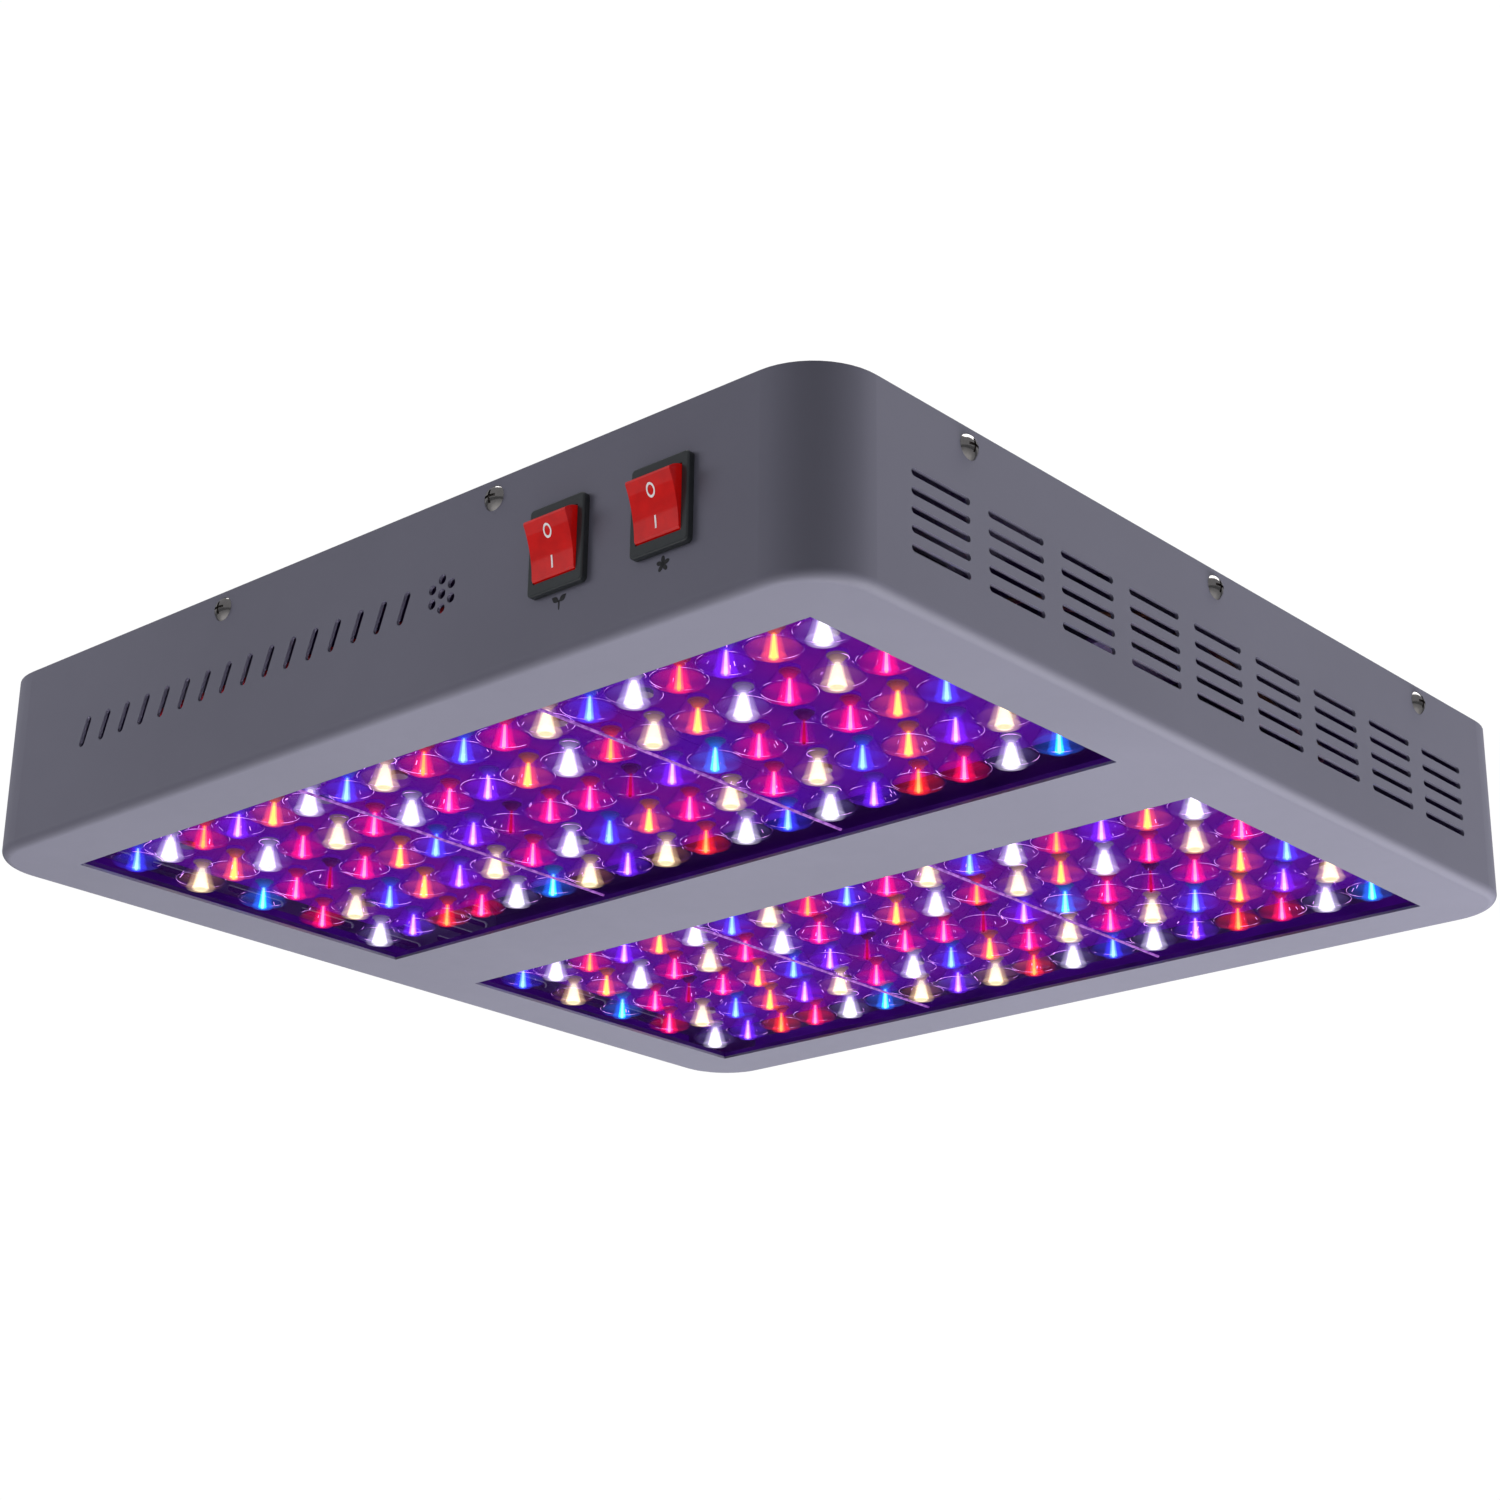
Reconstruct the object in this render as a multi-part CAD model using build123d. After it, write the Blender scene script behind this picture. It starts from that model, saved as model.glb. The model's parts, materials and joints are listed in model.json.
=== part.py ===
from build123d import *
import math
import os

# ---------------------------------------------------------------- driving dimensions, millimetres
# Origin: centre of the lamp's bottom face. +Z up, light shines down. Switch wall faces -Y.
HALF = 202.0            # half the side of the square housing
HEIGHT = 68.4           # housing from its bottom face to its top face
SHEET = 1.2             # steel sheet
CORNER_R = 24.0         # rounded upright corners
BEND_R = 3.4            # outer bend between bottom and walls
GAP = 0.3               # between parts that only stand beside each other

WINDOW_X = 175.0        # half length of a light window
WINDOW_Y_IN = 21.7      # edge of a window nearest the middle
WINDOW_Y_OUT = 175.4    # edge of a window nearest the wall
WINDOW_Y = (WINDOW_Y_IN + WINDOW_Y_OUT) / 2
WINDOW_HALF_Y = (WINDOW_Y_OUT - WINDOW_Y_IN) / 2

PITCH_X = 19.4          # LED spacing along a row
PITCH_Y = 29.6          # LED row spacing
COLUMNS = 6             # LEDs in a row of one lens panel
ROWS = 5
PANEL_X = COLUMNS * PITCH_X
PANEL_FLANGE = 3.6      # lens panel edge that rests on the gasket
SEAM = 0.3

GASKET_TOP = 3.0
LENS_PLATE = 1.4
CONE_FACE_R = 9.6       # solid lens cone where it leaves its plate
CONE_APEX_R = 4.3
CONE_TOP = 10.8
CAVITY_R = 3.1          # socket in the apex that the LED's dome stands in
CAVITY_DEPTH = 2.6
BOARD_Z = 12.6          # underside of the LED boards
BOARD_T = 1.6
BOARD_HALF_Y = 74.0
LED_BASE_R = 3.5
LED_DOME_R = 2.6

SINK_BASE = 4.0
SINK_TOP = 36.0
SINK_HALF_X = 171.0
SINK_HALF_Y = 70.0
FIN_T = 1.6
FIN_COUNT = 15

COVER_Z = HEIGHT - SHEET
COVER_RIM = 14.0        # depth of the cover's turned-down rim
COVER_SCREW_Z = 62.0
COVER_SCREWS_FRONT_X = (-67.0, 67.0)
COVER_SCREWS_SIDE_Y = (-134.0, 0.0, 134.0)
SCREW_R = 1.7
SCREW_HEAD_R = 4.3
SCREW_HEAD_H = 2.4
SCREW_LENGTH = 8.0

VENT_COLUMNS = 9
VENT_ROWS = 5
VENT_PITCH_Y = 37.0
VENT_PITCH_Z = 6.1
VENT_LENGTH = 28.0
VENT_HEIGHT = 2.6
VENT_Z = 31.3

SLASH_COUNT = 16        # slanted cut-outs in the switch wall
SLASH_START_X = -141.0
SLASH_PITCH = 11.2
SLASH_HEIGHT = 11.4
SLASH_WIDTH = 3.0
SLASH_Z = 35.6
SLASH_LEAN = 20.0
DOT_X = 44.8            # ring of round holes beside them
DOT_R = 1.7
DOT_RING_R = 5.0
DOT_COUNT = 6

SWITCH_X = (98.0, 141.0)
SWITCH_Z = 35.8
BEZEL_X = 23.4
BEZEL_Z = 29.4
BEZEL_PROUD = 2.5
BEZEL_CORNER_R = 1.6
SWITCH_BODY_X = 20.6
SWITCH_BODY_Z = 26.4
SWITCH_DEPTH = 18.0
SWITCH_POCKET = 9.0     # pocket depth behind the wall's outer face
ROCKER_X = 17.8
ROCKER_A = 5.0          # pivot to the chord of the pressed face
ROCKER_B = 9.3          # half the chord of the pressed face
ROCKER_TILT = 15.0      # either side of level; the rocker stands at +15, pressed at the bottom
ROCKER_HOLLOW = 1.1     # how deep the pressed face is dished
ROCKER_PIVOT = 0.75     # pivot in front of the wall's outer face
ROCKER_END_R = math.hypot(ROCKER_A, ROCKER_B)
TRUNNION_R = 1.2
TRUNNION_PLAY = 0.05
POCKET_X = ROCKER_X + 0.4
POCKET_Z = 2 * (ROCKER_END_R + 0.35)

FAN = 80.0              # square fan frame
FAN_T = 25.0
FAN_BORE_R = 37.5
FAN_HOLE = 71.5         # fan screw spacing
FAN_X = 97.0
FAN_FLANGE = 4.0
BLADE_COUNT = 7
BLADE_TIP_R = 36.6
BLADE_T = 1.3
BLADE_SWING = 11.0      # half the width that a blade sweeps from edge to edge
STRUT_W = 3.2
STRUT_T = 2.4
SEAT_T = 3.0            # motor seat
HUB_R = 17.0
SHAFT_R = 1.5
GUARD_RING_R = (37.0, 29.5, 22.0, 14.5)
GUARD_WIRE_R = 0.8
GUARD_SPOKE_R = 0.75
GUARD_BADGE_R = 8.0
EYELET_R = 4.4
EYELET_T = 1.6

DRIVER_X = 112.0
DRIVER_Y = 50.0
DRIVER_Z = 24.0
DRIVER_PITCH = 121.0
DRIVER_SCREW_X = 40.0   # driver screws, either side of its middle

EYE_AT = 150.0          # hanging eyes, from the middle along X and Y
EYE_W = 16.0
EYE_H = 12.0
EYE_T = 2.0
EYE_HOLE_R = 2.8
EYE_FOOT = 16.0

INLET_X = -120.0        # mains inlet in the rear wall
INLET_Z = 34.0
INLET_EAR_SPACING = 40.0
INLET_FLANGE = (50.0, 2.6, 24.0)
INLET_FLANGE_R = 5.0
INLET_BODY = (28.0, 19.0, 20.4)
INLET_CAVITY = (24.0, 18.6, 16.4)
INLET_CAVITY_R = 3.0
INLET_PIN = (2.0, 18.0, 4.0)
INLET_PIN_INSET = 5.0
INLET_PIN_SPACING = 7.0
INLET_PIN_Z = 2.0

TERMINAL = (64.0, 14.0, 14.0)
TERMINAL_X = 75.0       # from the inlet
TERMINAL_Z = 18.0
TERMINAL_WAYS = 6
TERMINAL_PITCH = 10.0
TERMINAL_SCREW_R = 2.2
TERMINAL_SCREW_Z = 6.0
TERMINAL_WIRE_R = 1.6
TERMINAL_WIRE_Z = 4.5

SPADE = (6.3, 8.0, 0.8)
SPADE_Z = 8.0           # either side of a switch's middle

WIRE_R = 1.2
SUPPLY_BEND = 5.0
SWITCH_BEND = 2.4
SINK_LANE_Z = 39.0      # wires cross over a heat sink and under the fans
WALL_LANE_Y = -190.0    # wires run behind the switch wall
SPADE_LANE_Y = -171.0   # and between the switch spades and the heat sink
DRIVER_WIRE_Z = 52.0
SUPPLY_END_X = 174.0    # where the supply wires reach the boards

# LED colours, seen along a row from -X to +X. Row 1 is nearest the switch wall in each window.
OUTER_PANEL = (
    ("blue", "white", "red_orange", "violet", "orange", "white"),
    ("warm_white", "orange", "white", "red", "warm_white", "red"),
    ("light_blue", "red", "infrared", "red", "orange", "blue"),
    ("red", "warm_white", "blue", "orange", "violet", "warm_white"),
    ("white", "violet", "red_orange", "red", "white", "light_blue"),
)
MIDDLE_PANEL = (
    ("blue", "warm_white", "red_orange", "blue", "red", "warm_white"),
    ("white", "red", "violet", "orange", "white", "red_orange"),
    ("violet", "infrared", "red", "red", "infrared", "violet"),
    ("red", "white", "blue", "orange", "red", "warm_white"),
    ("warm_white", "violet", "warm_white", "red_orange", "white", "blue"),
)
PANELS = (("left", -1, OUTER_PANEL), ("centre", 0, MIDDLE_PANEL), ("right", 1, OUTER_PANEL))
WINDOWS = (("front", -1), ("rear", 1))


# ---------------------------------------------------------------- helpers
def slab(x, y, z, at=(0, 0, 0)):
    """Box whose bottom face is centred on at."""
    return Pos(*at) * Box(x, y, z, align=(Align.CENTER, Align.CENTER, Align.MIN))


def rod(radius, height, at=(0, 0, 0)):
    """Upright cylinder standing on at."""
    bottom = (Align.CENTER, Align.CENTER, Align.MIN)
    return Pos(*at) * Cylinder(radius, height, align=bottom)


def rounded_block(half, radius, height, at_z):
    """Square block with rounded upright corners."""
    return Pos(0, 0, at_z) * extrude(RectangleRounded(2 * half, 2 * half, radius), height)


def pan_screw(length):
    """Pan-head cross-recess screw: head above z = 0, shank below."""
    dome_r = (SCREW_HEAD_R**2 + SCREW_HEAD_H**2) / (2 * SCREW_HEAD_H)
    head = rod(SCREW_HEAD_R, SCREW_HEAD_H) & Pos(0, 0, SCREW_HEAD_H - dome_r) * Sphere(dome_r)
    recess = Pos(0, 0, SCREW_HEAD_H - 1.3) * extrude(Rectangle(4.6, 0.9) + Rectangle(0.9, 4.6), 2)
    return head - recess + rod(SCREW_R, length, (0, 0, -length))


def group(shapes):
    """Several separate solids in one node."""
    return Compound(children=[solid for shape in shapes for solid in shape.solids()])


def tube(points, radius, bend):
    """Wire along straight runs joined by arcs."""
    path = FilletPolyline(*points, radius=bend)
    return sweep(Plane(path @ 0, z_dir=path % 0) * Circle(radius), path)


def led_places():
    """Every LED: colour name, x, y."""
    places = []
    for _, side in WINDOWS:
        for _, panel, colours in PANELS:
            for row in range(ROWS):
                y = side * WINDOW_Y + (row - (ROWS - 1) / 2) * PITCH_Y
                for column in range(COLUMNS):
                    x = panel * PANEL_X + (column - (COLUMNS - 1) / 2) * PITCH_X
                    places.append((colours[row][column], x, y))
    return places


# ---------------------------------------------------------------- housing
def vent_cutters(x):
    cutters = []
    for column in range(VENT_COLUMNS):
        y = (column - (VENT_COLUMNS - 1) / 2) * VENT_PITCH_Y
        for row in range(VENT_ROWS):
            z = VENT_Z + (row - (VENT_ROWS - 1) / 2) * VENT_PITCH_Z
            slot = extrude(SlotOverall(VENT_LENGTH, VENT_HEIGHT), 6, both=True)
            cutters.append(Pos(x, y, z) * Rot(0, 90, 0) * Rot(0, 0, 90) * slot)
    return cutters


def front_wall_cutters():
    """Slanted slots, a ring of round holes and the two switch cut-outs."""
    cutters = []
    for k in range(SLASH_COUNT):
        slot = extrude(Rot(0, 0, 90 - SLASH_LEAN) * SlotOverall(SLASH_HEIGHT, SLASH_WIDTH), 6, both=True)
        at = Pos(SLASH_START_X + k * SLASH_PITCH, -HALF, SLASH_Z)
        cutters.append(at * Rot(90, 0, 0) * slot)
    for k in range(DOT_COUNT):
        angle = math.radians(k * 360 / DOT_COUNT + 30)
        at = Pos(DOT_X + DOT_RING_R * math.cos(angle), -HALF, SLASH_Z + DOT_RING_R * math.sin(angle))
        cutters.append(at * Rot(90, 0, 0) * Cylinder(DOT_R, 12))
    cutters.append(Pos(DOT_X, -HALF, SLASH_Z) * Rot(90, 0, 0) * Cylinder(DOT_R, 12))
    for x in SWITCH_X:
        cutters.append(Pos(x, -HALF, SWITCH_Z) * Box(SWITCH_BODY_X + 0.4, 12, SWITCH_BODY_Z + 0.4))
    return cutters


def cover_screw_frames():
    """Where each cover screw enters a wall, by wall, with +Z pointing out of the housing."""
    return {
        "front": [Pos(x, -HALF, COVER_SCREW_Z) * Rot(90, 0, 0) for x in COVER_SCREWS_FRONT_X],
        "rear": [Pos(x, HALF, COVER_SCREW_Z) * Rot(-90, 0, 0) for x in COVER_SCREWS_FRONT_X],
        "left": [Pos(-HALF, y, COVER_SCREW_Z) * Rot(0, -90, 0) for y in COVER_SCREWS_SIDE_Y],
        "right": [Pos(HALF, y, COVER_SCREW_Z) * Rot(0, 90, 0) for y in COVER_SCREWS_SIDE_Y],
    }


def housing_tray():
    outer = rounded_block(HALF, CORNER_R, HEIGHT, 0)
    outer = fillet(outer.faces().sort_by(Axis.Z)[0].edges(), BEND_R)
    inner = rounded_block(HALF - SHEET, CORNER_R - SHEET, HEIGHT, SHEET)
    inner = fillet(inner.faces().sort_by(Axis.Z)[0].edges(), BEND_R - SHEET)
    cutters = vent_cutters(HALF) + vent_cutters(-HALF) + front_wall_cutters()
    for _, side in WINDOWS:
        cutters.append(Pos(0, side * WINDOW_Y, 0) * Box(2 * WINDOW_X, 2 * WINDOW_HALF_Y, 8))
    for frames in cover_screw_frames().values():
        cutters += [frame * Cylinder(SCREW_R + 0.4, 6) for frame in frames]
    cutters.append(Pos(INLET_X, HALF, INLET_Z) * Box(INLET_BODY[0] + 0.4, 12, INLET_BODY[2] + 0.4))
    for x in (-INLET_EAR_SPACING / 2, INLET_EAR_SPACING / 2):
        cutters.append(Pos(INLET_X + x, HALF, INLET_Z) * Rot(90, 0, 0) * Cylinder(SCREW_R + 0.3, 12))
    return outer - inner - cutters


def fan_centres():
    return [(x, y) for y in (-WINDOW_Y, WINDOW_Y) for x in (-FAN_X, FAN_X)]


def fan_screw_places():
    half = FAN_HOLE / 2
    return [(x + i * half, y + j * half) for x, y in fan_centres() for i in (-1, 1) for j in (-1, 1)]


def driver_screw_places():
    return [(k * DRIVER_PITCH + i * DRIVER_SCREW_X, 0) for k in (-1, 0, 1) for i in (-1, 1)]


def eye_frames():
    """Each hanging eye's place on the cover, turned so that its tab stands across X."""
    places = [(i, j) for j in (-1, 1) for i in (-1, 1)]
    return [Pos(i * EYE_AT, j * EYE_AT, HEIGHT) * Rot(0, 0, 0 if i > 0 else 180) for i, j in places]


def top_cover():
    reach = HALF - SHEET - GAP
    cover = rounded_block(reach, CORNER_R - SHEET - GAP, COVER_RIM, HEIGHT - COVER_RIM)
    cover = fillet(cover.faces().sort_by(Axis.Z)[-1].edges(), 1.2)
    low = HEIGHT - COVER_RIM - SHEET
    inside = rounded_block(reach - SHEET, CORNER_R - 2 * SHEET - GAP, COVER_RIM, low)
    cutters = [inside]
    for x, y in fan_centres():
        cutters.append(rod(FAN_BORE_R, 20, (x, y, COVER_Z - 10)))
    for x, y in fan_screw_places() + driver_screw_places():
        cutters.append(rod(SCREW_R + 0.4, 20, (x, y, COVER_Z - 10)))
    for frame in eye_frames():
        cutters.append(frame * Pos(-EYE_FOOT / 2 - EYE_T, 0, 0) * Cylinder(SCREW_R + 0.1, 6))
    for frames in cover_screw_frames().values():
        cutters += [frame * Cylinder(SCREW_R + 0.1, 12) for frame in frames]
    return cover - cutters


# ---------------------------------------------------------------- light windows
def window_gasket(side):
    ring = slab(2 * WINDOW_X + 9, 2 * WINDOW_HALF_Y + 9, GASKET_TOP - SHEET)
    hole = slab(2 * WINDOW_X + 1, 2 * WINDOW_HALF_Y + 1, GASKET_TOP)
    return Pos(0, side * WINDOW_Y, SHEET) * (ring - hole)


def lens_panel(side, panel):
    """Clear plate with thirty solid lens cones, each with a socket for its LED."""
    low = -PANEL_X / 2 + SEAM / 2 if panel >= 0 else -PANEL_X / 2 - PANEL_FLANGE
    high = PANEL_X / 2 - SEAM / 2 if panel <= 0 else PANEL_X / 2 + PANEL_FLANGE
    width = 2 * (WINDOW_HALF_Y + PANEL_FLANGE)
    plate = slab(high - low, width, LENS_PLATE, ((low + high) / 2, 0, 0))
    height = CONE_TOP - GASKET_TOP
    bottom = (Align.CENTER, Align.CENTER, Align.MIN)
    lens = Cone(CONE_FACE_R, CONE_APEX_R, height, align=bottom)
    lens -= rod(CAVITY_R, CAVITY_DEPTH + 1, (0, 0, height - CAVITY_DEPTH))
    lenses = []
    for row in range(ROWS):
        y = (row - (ROWS - 1) / 2) * PITCH_Y
        for column in range(COLUMNS):
            lenses.append(Pos((column - (COLUMNS - 1) / 2) * PITCH_X, y, 0) * lens)
    return Pos(panel * PANEL_X, side * WINDOW_Y, GASKET_TOP) * (plate + lenses)


def led_board(side, panel):
    edge = 3.4
    low = -PANEL_X / 2 + SEAM if panel >= 0 else -PANEL_X / 2 - edge
    high = PANEL_X / 2 - SEAM if panel <= 0 else PANEL_X / 2 + edge
    board = slab(high - low, 2 * BOARD_HALF_Y, BOARD_T, ((low + high) / 2, 0, 0))
    holes = [rod(SCREW_R + 0.2, 10, (x, y, -4)) for x, y in board_screw_places()]
    return Pos(panel * PANEL_X, side * WINDOW_Y, BOARD_Z) * (board - holes)


def board_screw_places():
    """Four screws that hold one board to its heat sink, between the LED rows."""
    x = PITCH_X * 2
    y = PITCH_Y * 1.5
    return [(i * x, j * y) for i in (-1, 1) for j in (-1, 1)]


def led():
    """One LED: round base under its board, dome pointing down."""
    base = rod(LED_BASE_R, BOARD_Z - CONE_TOP - 0.2, (0, 0, CONE_TOP + 0.2))
    dome = Pos(0, 0, CONE_TOP + 0.4) * Sphere(LED_DOME_R)
    return base + (dome - slab(9, 9, 9, (0, 0, CONE_TOP + 0.4)))


def heat_sink(side):
    base_z = BOARD_Z + BOARD_T
    sink = slab(2 * SINK_HALF_X, 2 * SINK_HALF_Y, SINK_BASE, (0, 0, base_z))
    fins = []
    for k in range(FIN_COUNT):
        y = (k / (FIN_COUNT - 1) - 0.5) * (2 * SINK_HALF_Y - FIN_T)
        fins.append(slab(2 * SINK_HALF_X, FIN_T, SINK_TOP - base_z, (0, y, base_z)))
    holes = []
    for _, panel, _ in PANELS:
        for x, y in board_screw_places():
            holes.append(rod(SCREW_R + 0.1, 5, (panel * PANEL_X + x, y, base_z - 1)))
    return Pos(0, side * WINDOW_Y, 0) * (sink + fins - holes)


def board_screws():
    screws = []
    for _, side in WINDOWS:
        for _, panel, _ in PANELS:
            for x, y in board_screw_places():
                head = rod(2.9, 1.5, (0, 0, -1.5))
                shank = rod(SCREW_R, BOARD_T + 3.4)
                at = Pos(panel * PANEL_X + x, side * WINDOW_Y + y, BOARD_Z)
                screws.append(at * (head + shank))
    return group(screws)


# ---------------------------------------------------------------- fans
def fan_frame(x, y):
    """Square frame with a round bore, corner flanges and a motor seat on four struts."""
    top = COVER_Z
    low = top - FAN_T
    body = Pos(0, 0, low) * extrude(RectangleRounded(FAN, FAN, 4), FAN_T)
    waist = slab(FAN + 2, FAN + 2, FAN_T - 2 * FAN_FLANGE, (0, 0, low + FAN_FLANGE))
    waist -= rod(FAN_BORE_R + 2, FAN_T, (0, 0, low))
    body = body - waist - rod(FAN_BORE_R, FAN_T + 2, (0, 0, low - 1))
    half = FAN_HOLE / 2
    for i in (-1, 1):
        for j in (-1, 1):
            body -= rod(SCREW_R + 0.4, FAN_T + 2, (i * half, j * half, low - 1))
    seat = rod(HUB_R, SEAT_T, (0, 0, low)) + rod(SHAFT_R, FAN_T - 5, (0, 0, low))
    reach = FAN_BORE_R + 1
    strut = slab(reach, STRUT_W, STRUT_T, (reach / 2, 0, low))
    struts = [Rot(0, 0, 90 * k + 20) * strut for k in range(4)]
    return Pos(x, y, 0) * (body + seat + struts)


def fan_rotor(x, y):
    """Hub cup with seven pitched blades, turning on the frame's shaft."""
    low = COVER_Z - FAN_T + 3.6
    high = COVER_Z - 1.6
    hub = rod(HUB_R, high - low, (0, 0, low)) - rod(SHAFT_R + 0.05, FAN_T, (0, 0, low - 1))
    hub = hub + rod(HUB_R, 1.2, (0, 0, high - 1.2))
    span = BLADE_TIP_R - HUB_R + 3
    rise = high - low - 2.0
    swing = BLADE_SWING
    profile = Polyline((-swing, -rise / 2), (-swing * 0.35, rise * 0.06), (swing, rise / 2))
    blade_face = Plane.YZ * trace(Spline(*[profile @ t for t in (0, 0.45, 1)]), line_width=BLADE_T)
    blade = Pos(HUB_R - 1.5, 0, (low + high) / 2) * extrude(blade_face, span)
    ring = rod(BLADE_TIP_R, high - low, (0, 0, low)) - rod(HUB_R - 1, FAN_T, (0, 0, low - 1))
    blade = blade & ring
    blades = [Rot(0, 0, 360 * k / BLADE_COUNT) * blade for k in range(BLADE_COUNT)]
    return Pos(x, y, 0) * (hub + blades)


def fan_guard(x, y):
    """Wire finger guard on the cover: rings on two crossed wires with an eyelet at each end."""
    wire_z = 0.8
    rings = [Pos(0, 0, wire_z + 1.2) * Torus(r, GUARD_WIRE_R) for r in GUARD_RING_R]
    reach = FAN_HOLE / math.sqrt(2)
    wire = Pos(0, 0, wire_z) * Rot(0, 90, 0) * Cylinder(GUARD_SPOKE_R, 2 * (reach - 2.6))
    wires = [Rot(0, 0, angle) * wire for angle in (45, 135)]
    half = FAN_HOLE / 2
    eyelets = [rod(EYELET_R, EYELET_T, (i * half, j * half, 0)) for i in (-1, 1) for j in (-1, 1)]
    holes = [rod(SCREW_R + 0.4, 9, (i * half, j * half, -2)) for i in (-1, 1) for j in (-1, 1)]
    badge = rod(GUARD_BADGE_R, 2.2, (0, 0, 0.9))
    guard = badge + wires + rings + eyelets
    return Pos(x, y, HEIGHT) * (guard - holes)


def fan_screws():
    screw = pan_screw(FAN_FLANGE + SHEET + 8)
    return group([Pos(x, y, HEIGHT + EYELET_T) * screw for x, y in fan_screw_places()])


# ---------------------------------------------------------------- power parts
def led_driver(place):
    """Metal-cased constant-current driver under the cover."""
    top = COVER_Z
    case = slab(DRIVER_X, DRIVER_Y, DRIVER_Z, (0, 0, top - DRIVER_Z))
    case = chamfer(case.edges().filter_by(Axis.X), 1.5)
    holes = [rod(SCREW_R + 0.1, 9, (i * DRIVER_SCREW_X, 0, top - 8)) for i in (-1, 1)]
    return Pos(place * DRIVER_PITCH, 0, 0) * (case - holes)


def driver_screws():
    return group([Pos(x, y, HEIGHT) * pan_screw(SHEET + 6) for x, y in driver_screw_places()])


def switch_body(x):
    """Black snap-in switch body: raised bezel, pocket for the rocker, bearings for its pins."""
    bezel = Box(BEZEL_X, BEZEL_PROUD, BEZEL_Z, align=(Align.CENTER, Align.MAX, Align.CENTER))
    bezel = fillet(bezel.edges().filter_by(Axis.Y), BEZEL_CORNER_R)
    bezel = fillet(bezel.faces().sort_by(Axis.Y)[0].edges(), 0.7)
    body = Box(SWITCH_BODY_X, SWITCH_DEPTH, SWITCH_BODY_Z, align=(Align.CENTER, Align.MIN, Align.CENTER))
    front = (Align.CENTER, Align.MIN, Align.CENTER)
    pocket = Pos(0, -9, 0) * Box(POCKET_X, 9 + SWITCH_POCKET, POCKET_Z, align=front)
    bearing = Rot(0, 90, 0) * Cylinder(TRUNNION_R + TRUNNION_PLAY, POCKET_X + 1.8)
    solids = [bezel + body - pocket - Pos(0, -ROCKER_PIVOT, 0) * bearing]
    for z in (-SPADE_Z, SPADE_Z):
        solids.append(Pos(0, SWITCH_DEPTH, z) * Box(*SPADE, align=front))
    return group([Pos(x, -HALF, SWITCH_Z) * solid for solid in solids])


def rocker(x):
    """Dished rocker with a pin each side, standing tilted with its bottom pressed in."""
    end = Vector(ROCKER_A, ROCKER_B)
    back = math.radians(128)
    rear = Vector(ROCKER_END_R * math.cos(back), ROCKER_END_R * math.sin(back))
    mid = math.radians(95)
    side = Vector(ROCKER_END_R * math.cos(mid), ROCKER_END_R * math.sin(mid))
    flip = lambda p: Vector(p.X, -p.Y)
    outline = [
        ThreePointArc(flip(end), Vector(ROCKER_A - ROCKER_HOLLOW, 0), end),
        ThreePointArc(end, side, rear),
        Line(rear, flip(rear)),
        ThreePointArc(flip(rear), flip(side), flip(end)),
    ]
    face = make_face(outline)
    plane = Plane(origin=(0, 0, 0), x_dir=(0, -1, 0), z_dir=(-1, 0, 0))
    body = extrude(plane * face, ROCKER_X / 2, both=True)
    body = chamfer(body.edges().filter_by(Axis.X).sort_by(Axis.Y)[:2], 0.5)
    pins = Rot(0, 90, 0) * Cylinder(TRUNNION_R, POCKET_X + 1.4)
    turned = Rot(ROCKER_TILT, 0, 0) * (body + pins)
    return Pos(x, -HALF - ROCKER_PIVOT, SWITCH_Z) * turned


def power_inlet():
    """Three-pin appliance inlet with ears."""
    front = (Align.CENTER, Align.MAX, Align.CENTER)
    proud = INLET_FLANGE[1]
    flange = Pos(0, proud, 0) * Box(*INLET_FLANGE, align=front)
    flange = fillet(flange.edges().filter_by(Axis.Y), INLET_FLANGE_R)
    body = Box(*INLET_BODY, align=front)
    mouth = Plane(origin=(0, proud, 0), x_dir=(1, 0, 0), z_dir=(0, -1, 0))
    profile = mouth * RectangleRounded(INLET_CAVITY[0], INLET_CAVITY[2], INLET_CAVITY_R)
    shell = flange + body - extrude(profile, INLET_CAVITY[1])
    for x in (-INLET_EAR_SPACING / 2, INLET_EAR_SPACING / 2):
        shell -= Pos(x, 0, 0) * Rot(90, 0, 0) * Cylinder(SCREW_R + 0.3, 12)
    pin = Box(*INLET_PIN, align=front)
    places = [(i * INLET_PIN_SPACING, -INLET_PIN_Z) for i in (-1, 1)] + [(0, INLET_PIN_Z)]
    pins = [Pos(x, -INLET_PIN_INSET, z) * pin for x, z in places]
    return Pos(INLET_X, HALF, INLET_Z) * (shell + pins)


def inlet_screws():
    places = (-INLET_EAR_SPACING / 2, INLET_EAR_SPACING / 2)
    at = [Pos(INLET_X + x, HALF + INLET_FLANGE[1], INLET_Z) * Rot(-90, 0, 0) for x in places]
    return group([frame * pan_screw(9) for frame in at])


def terminal_block():
    """Screw terminal strip fixed to the inside of the rear wall."""
    block = slab(*TERMINAL)
    for k in range(TERMINAL_WAYS):
        x = (k - (TERMINAL_WAYS - 1) / 2) * TERMINAL_PITCH
        block -= rod(TERMINAL_SCREW_R, TERMINAL[2], (x, 0, TERMINAL_SCREW_Z))
        block -= Pos(x, 0, TERMINAL_WIRE_Z) * Rot(90, 0, 0) * Cylinder(TERMINAL_WIRE_R, 20)
    y = HALF - SHEET - TERMINAL[1] / 2
    return Pos(INLET_X + TERMINAL_X, y, TERMINAL_Z) * block


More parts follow.
